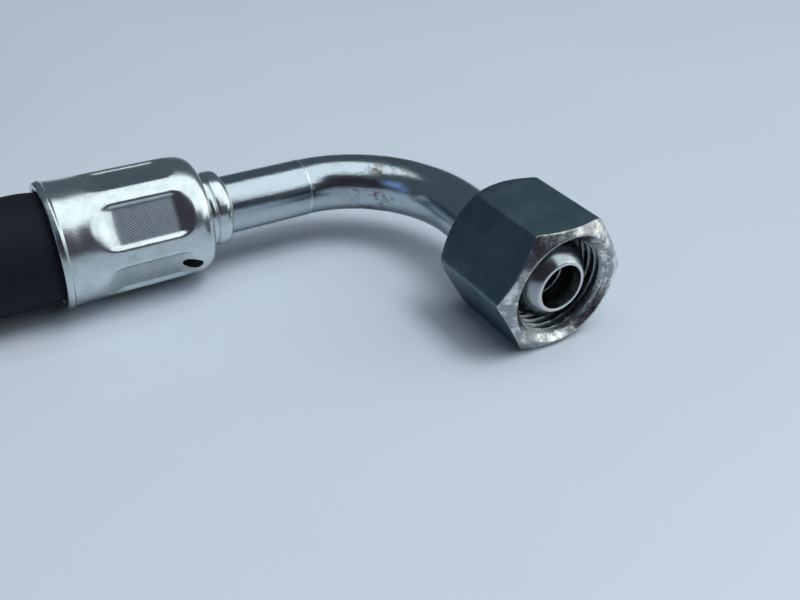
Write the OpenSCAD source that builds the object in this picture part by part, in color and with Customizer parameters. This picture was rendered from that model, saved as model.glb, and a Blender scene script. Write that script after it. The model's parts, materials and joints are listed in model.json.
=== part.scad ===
// Hydraulic hose assembly: a two-braid rubber hose between a swept elbow swivel end and a
// straight swivel end, lying on a flat surface with its spare length coiled and tied.
// The elbow end leaves its ferrule along +X, turns to -Y in a level plane, and the union nut
// opens towards -Y. The origin is below the middle of the elbow end, on the surface.

/* [Hose] */
// Outside diameter of the rubber cover
hose_d = 19; // [18:0.1:19.2]
// Bore of the hose liner
hose_bore = 9.5; // [9.4:0.05:9.6]
// Radius of the coil at the middle of the hose
coil_r = 105; // [100:1:120]
// Straight hose between the elbow end's ferrule and the coil
lead_len = 114; // [100:1:150]

/* [Ferrule] */
// Outside diameter of the crimped sleeve
ferrule_d = 21; // [20.5:0.1:21.5]
// Outside diameter of the flared mouth, which rests on the surface
flare_d = 22; // [21.8:0.1:22.4]
// Length of the ferrule
ferrule_len = 26; // [25:0.5:30]
// Number of pressed pockets around the sleeve
pocket_count = 6; // [5:1:6]
// Length of each pocket
pocket_len = 9.8; // [8:0.1:11]
// Width of each pocket
pocket_w = 7.2; // [6:0.1:7.4]
// Diameter of the inspection hole
peephole_d = 3; // [2:0.1:3.2]

/* [Elbow tube] */
// Outside diameter of the steel tube
tube_d = 10.5; // [10:0.1:10.8]
// Bore of the steel tube
tube_bore = 7.5; // [7:0.1:7.8]
// Radius of the elbow at the middle of the tube
bend_r = 22; // [20:0.5:30]
// Straight tube between the collar and the bend
tube_run = 16; // [10:0.5:30]

/* [Union nut] */
// Width across the flats of the hexagon
nut_af = 22; // [22:0.1:24]
// Length of the nut
nut_len = 20; // [19:0.5:22]
// Nominal diameter of the internal thread
thread_d = 18; // [17.8:0.1:18.4]
// Pitch of the internal thread
thread_pitch = 1.5; // [1:0.25:1.5]
// Depth of the threaded stretch from the open end
thread_len = 13; // [10:0.5:14]

/* [Ball nose] */
// Diameter of the ball that seals in the mating cone
ball_d = 15; // [14.6:0.1:15.2]
// Bore through the ball nose
nose_bore = 8; // [7.8:0.1:8.2]
// Outside diameter of the flat ring at the tip
nose_tip_d = 9; // [8.8:0.1:9.4]
// How far the tip stands back from the nut's open end
nose_recess = 1; // [0.5:0.1:2]

/* [Cable ties] */
// Width of the strap
tie_w = 4.8; // [3.6:0.2:7.6]
// Thickness of the strap
tie_t = 1.3; // [1:0.1:1.4]

/* [Hidden] */
$fn = 96;

// A fitting's own frame: X runs from the ferrule's mouth (x = 0) along the tube
collar_d = 13.4;
collar_len = 4.2;
slim_collar_d = 12.4;
groove_d = 11.2;
groove_len = 1.9;
neck_d = 12;
socket_depth = 2.6;
collar_end = ferrule_len + collar_len;
bend_start = collar_end + tube_run;
shoulder_round = 2.9;
sleeve_wall = 1.6;
mouth_wall = 1.3;
crimp_bore_d = ferrule_d - 2 * sleeve_wall;
hose_stop = ferrule_len - groove_len - 1.2;
lip_len = 1;
flare_len = 3.2;

// The pockets: flat floors sunk into the sleeve, one of them facing down and forward
pocket_x = 9.8;
pocket_floor = 9.35;
pocket_slope = 1.6;
pocket_turn = 32.5;
peephole_x = ferrule_len - 4.6;
far_pocket_turn = 20;

// The head's stations, measured back from the nut's open end at zero
ball_r = ball_d / 2;
ball_back = nose_recess + sqrt(ball_r * ball_r - nose_tip_d * nose_tip_d / 4);
head_land = 2.2;
head_shoulder = (ball_d - neck_d) / 2;
neck_start = ball_back + head_land + head_shoulder;
neck_end = nut_len - 0.8;
tube_end = neck_end - socket_depth;
nut_out = 9.5 + nut_len;

// The nut
nut_corner_r = nut_af / sqrt(3);
thread_minor_r = (thread_d - 1.0825 * thread_pitch) / 2;
mouth_r = thread_d / 2 + 0.75;
nut_bore_r = neck_d / 2 + 0.3;
front_chamfer_angle = 30;
back_chamfer_angle = 40;
front_face_r = 9.95;
back_face_r = 9.5;
relief_len = 1;

// The hose's layers, as radii from the bore outwards
hose_r = hose_d / 2;
bore_r = hose_bore / 2;
liner_r = 6.4;
inner_braid_r = 7;
interlayer_r = 7.3;
outer_braid_r = 7.9;
hose_sides = 12;
crimp_ratio = (crimp_bore_d / 2 - 0.05 - bore_r) / (hose_r - bore_r);

// Where the elbow end stands: its own box is centred over the origin
axis_z = flare_d / 2;
mouth_x = -(bend_start + bend_r + nut_corner_r) / 2;
axis_y = (bend_r + nut_out - axis_z) / 2;

// The coil turns clockwise seen from above: one turn on the surface, then up over its start
coil_x = mouth_x - lead_len;
coil_y = axis_y + coil_r;
coil_step = 20;
coil_turn = 460;
dip_z = hose_r + 0.1;
second_z = axis_z + hose_d + 0.4;
end_z = axis_z + hose_r + flare_d / 2;
dip_from = 80;
dip_to = 150;
climb_from = 240;
climb_to = 345;
lift_from = 440;
tie_turns = [40, 80];

// A smooth rise from 0 to 1 as a goes from a0 to a1
function rise(a, a0, a1) = (1 - cos(180 * min(1, max(0, (a - a0) / (a1 - a0))))) / 2;
function coil_z(a) =
    axis_z
    + (dip_z - axis_z) * rise(a, dip_from, dip_to)
    + (second_z - dip_z) * rise(a, climb_from, climb_to)
    + (end_z - second_z) * rise(a, lift_from, coil_turn);
function coil_point(a) = [coil_x - coil_r * sin(a), coil_y - coil_r * cos(a), coil_z(a)];
function coil_heading(a) = 180 - a;
function along(p, angle, d) = [p[0] + d * cos(angle), p[1] + d * sin(angle), p[2]];

// The far ferrule's mouth, and the hose's whole route from one ferrule's stop to the other's
end_angle = coil_heading(coil_turn);
end_mouth = coil_point(coil_turn);
lead_start = [mouth_x, axis_y, axis_z];
crimped_start = along(lead_start, 0, hose_stop);
crimped_end = along(end_mouth, end_angle, hose_stop);
mouth_clearance = 3;
free_points = concat(
    [along(lead_start, 180, mouth_clearance), along(lead_start, 180, lead_len / 2)],
    [for (a = [0:coil_step:coil_turn - coil_step]) coil_point(a)],
    [along(end_mouth, end_angle, -mouth_clearance)]
);
route = concat(
    [crimped_start, along(lead_start, 0, mouth_clearance)],
    free_points,
    [along(end_mouth, end_angle, mouth_clearance), crimped_end]
);

function unit(v) = v / norm(v);
function is_crimped(i) = i < 2 || i > len(route) - 3;
function squeezed(r) = bore_r + (r - bore_r) * crimp_ratio;
function ring_r(r, i) = is_crimped(i) ? squeezed(r) : r;
function tangent(i) = unit(route[min(i + 1, len(route) - 1)] - route[max(i - 1, 0)]);
function ring(r, i) =
    let (
        t = tangent(i),
        side = unit(cross([0, 0, 1], t)),
        up = cross(t, side),
        radius = ring_r(r, i)
    )
    [for (k = [0:hose_sides - 1])
        route[i] + radius * (cos(360 * k / hose_sides) * side + sin(360 * k / hose_sides) * up)];

// Helpers
module turned(points) {
    rotate([0, 90, 0])
        rotate_extrude()
            polygon([for (p = points) [p[1], p[0]]]);
}
module bar(x0, x1, r) {
    translate([x0, 0, 0])
        rotate([0, 90, 0])
            cylinder(r = r, h = x1 - x0);
}
module at_elbow_end() {
    translate(lead_start)
        children();
}
module at_straight_end() {
    translate(end_mouth)
        rotate([0, 0, end_angle])
            children();
}
// Puts a shape whose open end is at x = 0, looking along +X, at the elbow's open end
module at_elbow_nut() {
    at_elbow_end()
        translate([bend_start + bend_r, -bend_r - nut_out, 0])
            rotate([0, 0, -90])
                children();
}
module at_straight_nut() {
    at_straight_end()
        translate([collar_end + nut_out, 0, 0])
            children();
}

// Sleeve with a flared mouth, a rounded shoulder, a lip that locks in the tail's groove,
// pressed pockets and one inspection hole
function shoulder_arc(r_out) =
    [for (a = [90:-15:0])
        [ferrule_len - shoulder_round + shoulder_round * cos(a),
         r_out - shoulder_round + shoulder_round * sin(a)]];
module ferrule_body() {
    r_out = ferrule_d / 2;
    turned(concat(
        [
            [0, flare_d / 2 - mouth_wall],
            [0, flare_d / 2 - 0.2],
            [0.2, flare_d / 2],
            [lip_len, flare_d / 2],
            [lip_len + 0.5, flare_d / 2 - 0.35],
            [flare_len, r_out]
        ],
        shoulder_arc(r_out),
        [
            [ferrule_len, groove_d / 2],
            [ferrule_len - groove_len, groove_d / 2],
            [ferrule_len - groove_len, crimp_bore_d / 2],
            [flare_len, crimp_bore_d / 2]
        ]
    ));
}
module pocket() {
    height = 4;
    spread = height * pocket_slope;
    rotate([90, 0, 0])
        linear_extrude(pocket_w, center = true)
            polygon([
                [pocket_x, pocket_floor],
                [pocket_x + pocket_len, pocket_floor],
                [pocket_x + pocket_len + spread, pocket_floor + height],
                [pocket_x - spread, pocket_floor + height]
            ]);
}
module ferrule(turn) {
    color("silver")
        difference() {
            ferrule_body();
            for (k = [0:pocket_count - 1])
                rotate([90 - turn - 360 * k / pocket_count, 0, 0])
                    pocket();
            translate([peephole_x, 0, 0])
                rotate([90 - turn + 360 / pocket_count, 0, 0])
                    cylinder(d = peephole_d, h = ferrule_d);
        }
}

// Barbed tail under the ferrule, and the collar that the ferrule locks behind
barb_pitch = 3.4;
barb_rise = 0.35;
barb_count = 6;
barbs_start = 1.6;
function barb_points() =
    [for (k = [0:barb_count - 1])
        for (p = [[0, 0], [barb_pitch - 0.6, barb_rise], [barb_pitch - 0.3, 0]])
            [barbs_start + k * barb_pitch + p[0], bore_r + p[1]]];
function tail_points(collar_r) = concat(
    [[0, bore_r - 0.6], [0.8, bore_r]],
    barb_points(),
    [
        [hose_stop, bore_r],
        [hose_stop, collar_r],
        [ferrule_len - groove_len, collar_r],
        [ferrule_len - groove_len, groove_d / 2],
        [ferrule_len, groove_d / 2],
        [ferrule_len, collar_r - 0.4],
        [ferrule_len + 0.4, collar_r]
    ]
);
module hose_tail() {
    collar_r = collar_d / 2;
    edge = 1;
    color("silver")
        difference() {
            turned(concat(
                tail_points(collar_r),
                [for (a = [90:-22.5:0])
                    [collar_end - edge + edge * cos(a), collar_r - edge + edge * sin(a)]],
                [[collar_end, 0], [0, 0]]
            ));
            bar(-1, collar_end + 1, tube_bore / 2);
            bar(collar_end - socket_depth, collar_end + 1, tube_d / 2);
        }
}

// Fillet of brazing metal, seen as a small cone around the tube; x0 is its broad end
module braze_ring(x0, direction) {
    size = 0.7;
    color("goldenrod")
        turned([
            [x0, tube_d / 2],
            [x0, tube_d / 2 + size],
            [x0 + direction * size, tube_d / 2]
        ]);
}

// Bent tube: straight run, quarter bend, short straight into the head's socket
module elbow_path(r) {
    bar(collar_end - socket_depth, bend_start, r);
    translate([bend_start, -bend_r, 0])
        rotate_extrude(angle = 90)
            translate([bend_r, 0])
                circle(r);
    translate([bend_start + bend_r, -bend_r, 0])
        rotate([90, 0, 0])
            cylinder(r = r, h = nut_out - tube_end);
}
module elbow_tube() {
    color("lightsteelblue")
        difference() {
            elbow_path(tube_d / 2);
            elbow_path(tube_bore / 2);
        }
}

// Ball nose head; the outside is shared by the brazed head and the one-piece straight insert
module head_outside(back) {
    tip_angle = asin(nose_tip_d / 2 / ball_r);
    arc_steps = 8;
    turned(concat(
        [[-nose_recess, 0]],
        [for (k = [0:arc_steps])
            let (a = tip_angle + (90 - tip_angle) * k / arc_steps)
            [-ball_back + ball_r * cos(a), ball_r * sin(a)]],
        [
            [-ball_back - head_land, ball_r],
            [-neck_start, neck_d / 2],
            [-back, neck_d / 2],
            [-back, 0]
        ]
    ));
}
module cone_head() {
    color("gainsboro")
        difference() {
            head_outside(neck_end);
            bar(-ball_back - 3, 0, nose_bore / 2);
            bar(-tube_end, 0, tube_bore / 2);
            bar(-neck_end - 1, -tube_end, tube_d / 2);
        }
}

// Straight end: barbed tail, slim collar, neck and ball nose turned from one bar
module straight_insert() {
    collar_r = slim_collar_d / 2;
    color("gainsboro")
        difference() {
            union() {
                turned(concat(
                    tail_points(collar_r),
                    [[collar_end, collar_r], [collar_end, 0], [0, 0]]
                ));
                translate([collar_end + nut_out, 0, 0])
                    head_outside(nut_out);
            }
            bar(-1, collar_end + nut_out + 1, tube_bore / 2);
            bar(collar_end + nut_out - ball_back - 3, collar_end + nut_out + 1, nose_bore / 2);
        }
}

// Hexagon nut, chamfered at both ends, threaded from its open end, with a shoulder behind;
// the thread is drawn at its minor diameter
module nut_blank() {
    front_drop = (nut_corner_r - front_face_r) * tan(front_chamfer_angle);
    back_drop = (nut_corner_r - back_face_r) * tan(back_chamfer_angle);
    intersection() {
        translate([-nut_len, 0, 0])
            rotate([0, 90, 0])
                rotate([0, 0, 90])
                    cylinder(r = nut_corner_r, h = nut_len, $fn = 6);
        turned([
            [-nut_len, 0],
            [-nut_len, back_face_r],
            [-nut_len + back_drop, nut_corner_r],
            [-front_drop, nut_corner_r],
            [0, front_face_r],
            [0, 0]
        ]);
    }
}
module union_nut() {
    shoulder = ball_r + 0.5 - nut_bore_r;
    seat = thread_len + relief_len;
    color("slategray")
        difference() {
            nut_blank();
            turned([
                [0.01, 0],
                [0.01, mouth_r],
                [0, mouth_r],
                [thread_minor_r - mouth_r, thread_minor_r],
                [-seat, thread_minor_r],
                [-seat, nut_bore_r + shoulder],
                [-seat - shoulder, nut_bore_r],
                [-nut_len - 0.01, nut_bore_r],
                [-nut_len - 0.01, 0]
            ]);
        }
}

// One layer of the hose, swept along the route between two radii
module hose_layer(r_in, r_out) {
    n = len(route);
    m = hose_sides;
    points = [
        for (r = [r_out, r_in])
            for (i = [0:n - 1])
                each ring(r, i)
    ];
    function at(layer, i, k) = layer * n * m + i * m + k % m;
    sides = [
        for (layer = [0, 1])
            for (i = [0:n - 2])
                for (k = [0:m - 1])
                    let (
                        a = at(layer, i, k),
                        b = at(layer, i, k + 1),
                        c = at(layer, i + 1, k + 1),
                        d = at(layer, i + 1, k)
                    )
                    each (layer == 0 ? [[a, b, c], [a, c, d]] : [[c, b, a], [d, c, a]])
    ];
    caps = [
        for (i = [0, n - 1])
            for (k = [0:m - 1])
                let (
                    a = at(0, i, k),
                    b = at(0, i, k + 1),
                    c = at(1, i, k + 1),
                    d = at(1, i, k)
                )
                each (i == 0 ? [[c, b, a], [d, c, a]] : [[a, b, c], [a, c, d]])
    ];
    polyhedron(points, concat(sides, caps));
}

// Nylon strap around two stacked turns of the hose, with its ratchet head on the outside
module tie_outline(r, gap) {
    circle(r);
    translate([0, gap])
        circle(r);
    translate([-r, 0])
        square([2 * r, gap]);
}
module cable_tie(turn) {
    gap = second_z - axis_z;
    inner_r = hose_r + 0.05;
    outer_r = inner_r + tie_t;
    head = [5.5, 8, 7.5];
    p = coil_point(turn);
    color("dimgray")
        translate([p[0], p[1], axis_z])
            rotate([0, 0, coil_heading(turn)])
                rotate([90, 0, 90]) {
                    linear_extrude(tie_w, center = true)
                        difference() {
                            tie_outline(outer_r, gap);
                            tie_outline(inner_r, gap);
                        }
                    translate([outer_r - 0.2, (gap - head[1]) / 2, -head[2] / 2])
                        cube(head);
                }
}

// Sub-parts
module ferrule_a() { at_elbow_end() ferrule(pocket_turn); }
module hose_tail_a() { at_elbow_end() hose_tail(); }
module braze_ring_tail_a() { at_elbow_end() braze_ring(collar_end, 1); }
module elbow_tube_a() { at_elbow_end() elbow_tube(); }
module braze_ring_head_a() { at_elbow_nut() braze_ring(-neck_end, -1); }
module cone_head_a() { at_elbow_nut() cone_head(); }
module union_nut_a() { at_elbow_nut() union_nut(); }
module hose_cover() { color("#1c1c22") hose_layer(outer_braid_r, hose_r); }
module outer_braid() { color("darkgray") hose_layer(interlayer_r, outer_braid_r); }
module braid_interlayer() { color("#2a2a2a") hose_layer(inner_braid_r, interlayer_r); }
module inner_braid() { color("darkgray") hose_layer(liner_r, inner_braid_r); }
module hose_liner() { color("#161616") hose_layer(bore_r, liner_r); }
module cable_tie_1() { cable_tie(tie_turns[0]); }
module cable_tie_2() { cable_tie(tie_turns[1]); }
module ferrule_b() { at_straight_end() ferrule(far_pocket_turn); }
module straight_insert_b() { at_straight_end() straight_insert(); }
module union_nut_b() { at_straight_nut() union_nut(); }

ferrule_a();
hose_tail_a();
braze_ring_tail_a();
elbow_tube_a();
braze_ring_head_a();
cone_head_a();
union_nut_a();
hose_cover();
outer_braid();
braid_interlayer();
inner_braid();
hose_liner();
cable_tie_1();
cable_tie_2();
ferrule_b();
straight_insert_b();
union_nut_b();
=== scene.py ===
"""Looks for a coiled hydraulic hose assembly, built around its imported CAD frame."""

import json
import math

import bmesh
import bpy
import numpy as np
from mathutils import Matrix, Vector


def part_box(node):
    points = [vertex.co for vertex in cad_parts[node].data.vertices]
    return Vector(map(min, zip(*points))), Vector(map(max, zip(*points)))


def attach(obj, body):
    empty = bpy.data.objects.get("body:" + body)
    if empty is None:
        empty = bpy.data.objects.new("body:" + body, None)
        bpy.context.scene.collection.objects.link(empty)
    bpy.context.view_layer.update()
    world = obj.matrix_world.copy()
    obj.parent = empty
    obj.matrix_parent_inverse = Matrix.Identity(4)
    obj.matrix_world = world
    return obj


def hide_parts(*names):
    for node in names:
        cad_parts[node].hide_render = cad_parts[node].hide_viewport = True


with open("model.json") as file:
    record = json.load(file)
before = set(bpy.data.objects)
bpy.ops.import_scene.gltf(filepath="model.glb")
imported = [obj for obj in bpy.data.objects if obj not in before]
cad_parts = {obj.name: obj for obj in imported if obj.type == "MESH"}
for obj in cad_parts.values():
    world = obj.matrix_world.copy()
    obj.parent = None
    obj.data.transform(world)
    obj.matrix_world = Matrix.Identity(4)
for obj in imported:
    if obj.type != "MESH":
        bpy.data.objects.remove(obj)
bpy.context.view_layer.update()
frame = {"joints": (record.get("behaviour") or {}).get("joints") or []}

MM = 0.001
UP = Vector((0, 0, 1))
FIXED_BODY = "hose_and_fittings"

# Sizes in millimetres. A fitting's own X runs from the ferrule's mouth along the tube.
FERRULE_R = 10.5
FLARE_R = 11.0
FERRULE_LEN = 26.0
CRIMP_BORE_R = 8.9
GROOVE_R = 5.6
GROOVE_LEN = 1.9
HOSE_STOP = 22.9
COLLAR_R = 6.7
SLIM_COLLAR_R = 6.2
COLLAR_END = 30.2
SOCKET_DEPTH = 2.6
TUBE_RUN = 16.0
BEND_R = 22.0
BEND_START = COLLAR_END + TUBE_RUN
BEND_LEN = math.pi / 2 * BEND_R
TUBE_R = 5.25
TUBE_BORE_R = 3.75
NUT_OUT = 29.5
POCKETS = 6
POCKET_START = 10.2
POCKET_END = 19.4
POCKET_WIDTH = 6.2
POCKET_FLOOR = 9.35
POCKET_EDGE = 1.0
POCKET_TURN_A = 32.5
POCKET_TURN_B = 20.0
PEEPHOLE_X = 21.4
PEEPHOLE_HALF_LEN = 1.7
PEEPHOLE_HALF_WIDTH = 1.35

# A nut's and a head's own X is zero at the nut's open end and grows out of it.
NUT_LEN = 20.0
NUT_AF = 22.0
FRONT_FACE_R = 9.95
BACK_FACE_R = 9.5
FRONT_CHAMFER = math.radians(30)
BACK_CHAMFER = math.radians(40)
MOUTH_R = 9.75
THREAD_PITCH = 1.5
THREAD_MAJOR_R = 9.02
THREAD_MINOR_R = 8.188
THREAD_END = 13.0
NUT_SEAT = 14.0
NUT_SEAT_R = 8.0
NUT_BORE_R = 6.3
BALL_R = 7.5
BALL_BACK = 7.0
NOSE_RECESS = 1.0
NOSE_TIP_R = 4.5
NOSE_BORE_R = 4.0
NECK_R = 6.0
NECK_START = 10.7
NECK_END = 19.2
TUBE_END = NECK_END - SOCKET_DEPTH

# The hose, and its layers' outer radii from the bore outwards
HOSE_BORE_R = 4.75
LINER_R = 6.4
INNER_BRAID_R = 7.0
INTERLAYER_R = 7.3
OUTER_BRAID_R = 7.9
HOSE_R = 9.5
CRIMPED_HOSE_R = CRIMP_BORE_R - 0.05
COIL_R = 105.0
LEAD_LEN = 114.0
AXIS_Z = 11.0
DIP_Z = 9.6
SECOND_Z = 30.4
END_Z = 31.5

# Places round the coil, in degrees from its start
DIP_TURNS = (80, 150)
CLIMB_TURNS = (240, 345)
LAST_RISE = (440, 460)
COIL_TURN = LAST_RISE[1]
TIE_TURNS = (40, 80)

# The cable ties
TIE_CLEARANCE = 0.05
TIE_HALF_THICK = 0.65
TIE_HALF_WIDTH = 2.4
TIE_CORNER = 0.35


# ---- places taken from the frame
def placed(origin, axis):
    """The matrix of a local frame in millimetres: X along axis, Z upwards."""
    side = UP.cross(axis)
    turn = Matrix((axis, side, UP)).transposed().to_4x4()
    return Matrix.Translation(origin) @ turn @ Matrix.Scale(MM, 4)


def nut_end(joint_name):
    """The middle of a nut's open end, and the way that it looks."""
    joint = next(j for j in frame["joints"] if j["name"] == joint_name)
    axis = Vector(joint["axis"]).normalized()
    return Vector(joint["pos_m"]) + axis * (NUT_LEN / 2 * MM), axis


sleeve_low, sleeve_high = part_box("ferrule_a")
mouth_a = Vector((sleeve_low.x, (sleeve_low.y + sleeve_high.y) / 2, (sleeve_low.z + sleeve_high.z) / 2))
open_a, out_a = nut_end("nut_a_swivel")
open_b, out_b = nut_end("nut_b_swivel")
mouth_b = open_b - out_b * ((COLLAR_END + NUT_OUT) * MM)
END_A = placed(mouth_a, Vector((1, 0, 0)))
HEAD_A = placed(open_a, out_a)
END_B = placed(mouth_b, out_b)
HEAD_B = placed(open_b, out_b)
BEND_POINT = END_A @ Vector((BEND_START, 0, 0))

# ---- camera
CAMERA_FROM_BEND = Vector((-64.48, -137.17, 78.41)) * MM
CAMERA_YAW = math.radians(32.71)
CAMERA_PITCH = math.radians(-34.49)
CAMERA_ROLL = math.radians(2.47)
CAMERA_LENS = 40
CAMERA_SENSOR = 36
CAMERA_NEAR = 0.005


def add_camera():
    """A level camera turned by its yaw, its pitch and then its roll."""
    sin, cos = math.sin, math.cos
    forward = Vector((
        cos(CAMERA_PITCH) * sin(CAMERA_YAW),
        cos(CAMERA_PITCH) * cos(CAMERA_YAW),
        sin(CAMERA_PITCH),
    ))
    level = Vector((cos(CAMERA_YAW), -sin(CAMERA_YAW), 0))
    above = level.cross(forward)
    right = cos(CAMERA_ROLL) * level + sin(CAMERA_ROLL) * above
    up = -sin(CAMERA_ROLL) * level + cos(CAMERA_ROLL) * above
    data = bpy.data.cameras.new("camera")
    data.lens = CAMERA_LENS
    data.sensor_width = CAMERA_SENSOR
    data.clip_start = CAMERA_NEAR
    camera = bpy.data.objects.new("camera", data)
    bpy.context.scene.collection.objects.link(camera)
    turn = Matrix((right, up, -forward)).transposed().to_4x4()
    camera.matrix_world = Matrix.Translation(BEND_POINT + CAMERA_FROM_BEND) @ turn
    bpy.context.scene.camera = camera


add_camera()


# ---- mesh helpers
CREASE = math.radians(40)
TURNED_CREASE = math.radians(35)
NUT_CREASE = math.radians(32)


def smooth(t):
    """An eased rise from 0 to 1."""
    t = np.clip(t, 0, 1)
    return t * t * (3 - 2 * t)


def bell(x, middle, width):
    """A bump of height 1 about the middle."""
    return np.exp(-(((x - middle) / width) ** 2))


def rounded(points, steps=4):
    """A closed outline of (x, r, corner size) points with its corners eased off."""
    out = []
    count = len(points)
    for i, (x, r, size) in enumerate(points):
        here = np.array([x, r])
        before = np.array(points[i - 1][:2]) - here
        after = np.array(points[(i + 1) % count][:2]) - here
        if size <= 0:
            out.append(here)
            continue
        a = here + before * min(0.48, size / np.linalg.norm(before))
        b = here + after * min(0.48, size / np.linalg.norm(after))
        for t in np.linspace(0, 1, steps + 1):
            out.append((1 - t) ** 2 * a + 2 * t * (1 - t) * here + t * t * b)
    return np.array(out)


def refined(outline, step):
    """The same closed outline with no stretch longer than step."""
    out = []
    for i, a in enumerate(outline):
        b = outline[(i + 1) % len(outline)]
        parts = max(1, math.ceil(np.linalg.norm(b - a) / step))
        out += [a + (b - a) * k / parts for k in range(parts)]
    return np.array(out)


def arc(centre, radius, start, end, count):
    """(x, r, 0) points on an arc about a point of the axis, angles from +X in degrees."""
    angles = np.radians(np.linspace(start, end, count))
    return [(centre + radius * math.cos(a), radius * math.sin(a), 0) for a in angles]


def ring_faces(rows, columns):
    """A list of quads over a grid of points that closes on itself both ways."""
    i, j = np.indices((rows, columns))
    i_next = (i + 1) % rows
    j_next = (j + 1) % columns
    corners = (i * columns + j, i * columns + j_next, i_next * columns + j_next, i_next * columns + j)
    return np.stack(corners, axis=-1).reshape(-1, 4).tolist()


def around(x, r, angle):
    """Points at distance r from the local X axis; angle is measured from -Y upwards."""
    return np.stack([x, -r * np.cos(angle), r * np.sin(angle)], axis=-1).reshape(-1, 3)


def even_angles(count):
    """Angles once round, without the last."""
    return np.arange(count) * (2 * math.pi / count)


def apply_matrix(matrix, points):
    m = np.array(matrix)
    return points @ m[:3, :3].T + m[:3, 3]


def set_attribute(mesh, name, values):
    """Stores a number or a vector at each point, for the materials."""
    values = np.asarray(values, np.float32)
    is_vector = values.ndim == 2
    layer = mesh.attributes.new(name, "FLOAT_VECTOR" if is_vector else "FLOAT", "POINT")
    layer.data.foreach_set("vector" if is_vector else "value", values.ravel())


def outward_mesh(name, points, faces):
    """A closed mesh with its normals turned outwards."""
    mesh = bpy.data.meshes.new(name)
    mesh.from_pydata(points.tolist(), [], faces)
    work = bmesh.new()
    work.from_mesh(mesh)
    bmesh.ops.recalc_face_normals(work, faces=work.faces)
    work.to_mesh(mesh)
    work.free()
    return mesh


def closed_mesh(name, points, faces, crease=CREASE):
    """A closed, smooth-shaded mesh that stays sharp wherever it turns by more than crease."""
    mesh = outward_mesh(name, points, faces)
    mesh.shade_smooth()
    mesh.set_sharp_from_angle(angle=crease)
    return mesh


def add_piece(name, mesh, material, body, node):
    """A visual piece that rides on a body and stands in for one CAD node."""
    piece = bpy.data.objects.new(name, mesh)
    bpy.context.scene.collection.objects.link(piece)
    mesh.materials.append(material)
    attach(piece, body)
    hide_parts(node)
    return piece


def local_coordinates(mesh, matrix):
    """The mesh's points in a fitting's own millimetres."""
    points = np.array([v.co for v in mesh.vertices])
    return apply_matrix(matrix.inverted(), points)


def turned_grid(outline, columns):
    """The x, r and angle of each point of an outline turned about the local X axis."""
    x = np.repeat(outline[:, :1], columns, axis=1)
    r = np.repeat(outline[:, 1:], columns, axis=1)
    return x, r, even_angles(columns) + 0 * x


def lathe(name, matrix, outline, columns=96):
    """A closed outline of (x, r) points turned about the local X axis."""
    local = around(*turned_grid(outline, columns))
    faces = ring_faces(len(outline), columns)
    mesh = closed_mesh(name, apply_matrix(matrix, local), faces, TURNED_CREASE)
    set_attribute(mesh, "local", local)
    return mesh


# ---- material helpers
class Shade:
    """A short way to write a material's nodes."""

    def __init__(self, name, **sockets):
        self.material = bpy.data.materials.new(name)
        self.material.use_nodes = True
        self.tree = self.material.node_tree
        self.shader = self.tree.nodes["Principled BSDF"]
        for socket, value in sockets.items():
            self.shader.inputs[socket.replace("_", " ")].default_value = value

    def node(self, kind, inputs=(), **settings):
        made = self.tree.nodes.new(kind)
        for key, value in settings.items():
            setattr(made, key, value)
        for key, value in dict(inputs).items():
            self.put(made.inputs[key], value)
        return made

    def put(self, socket, value):
        if isinstance(value, bpy.types.NodeSocket):
            self.tree.links.new(value, socket)
        else:
            socket.default_value = value

    def attribute(self, name, output="Vector"):
        return self.node("ShaderNodeAttribute", attribute_name=name).outputs[output]

    def stretched(self, vector, scale):
        inputs = {0: vector, 1: scale}
        return self.node("ShaderNodeVectorMath", inputs, operation="MULTIPLY").outputs[0]

    def noise(self, vector, scale, detail=4.0, rough=0.55):
        inputs = {"Vector": vector, "Scale": scale, "Detail": detail, "Roughness": rough}
        return self.node("ShaderNodeTexNoise", inputs).outputs["Fac"]

    def waves(self, vector, scale, direction="X", **more):
        """Parallel bands across one axis of the vector."""
        inputs = {"Vector": vector, "Scale": scale, **more}
        return self.node("ShaderNodeTexWave", inputs, bands_direction=direction).outputs["Fac"]

    def ramp(self, value, low, high):
        """0 below low, 1 above high, eased in between."""
        inputs = {"Value": value, "From Min": low, "From Max": high}
        made = self.node("ShaderNodeMapRange", inputs, interpolation_type="SMOOTHSTEP")
        return made.outputs["Result"]

    def maths(self, operation, a, b=0.0):
        return self.node("ShaderNodeMath", {0: a, 1: b}, operation=operation).outputs[0]

    def mix(self, factor, a, b):
        """Colour a where the factor is 0, and b where it is 1."""
        made = self.node("ShaderNodeMix", data_type="RGBA")
        for key, value in {"Factor": factor, "A": a, "B": b}.items():
            socket = next(s for s in made.inputs if s.name == key and s.enabled)
            self.put(socket, value)
        return next(s for s in made.outputs if s.enabled)

    def blend(self, factor, a, b):
        """Number a where the factor is 0, and b where it is 1."""
        inputs = {"Value": factor, "To Min": a, "To Max": b}
        return self.node("ShaderNodeMapRange", inputs).outputs["Result"]

    def bump(self, height, distance, strength=1.0, normal=None):
        inputs = {"Height": height, "Distance": distance, "Strength": strength}
        if normal is not None:
            inputs["Normal"] = normal
        return self.node("ShaderNodeBump", inputs).outputs["Normal"]

    def paint(self, **sockets):
        """Fills the shader's sockets and hands back the finished material."""
        for socket, value in sockets.items():
            self.put(self.shader.inputs[socket.replace("_", " ")], value)
        return self.material


def colour(r, g, b):
    return (r, g, b, 1.0)


# ---- materials
BRAID_ANGLE = math.radians(54.7)


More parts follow.
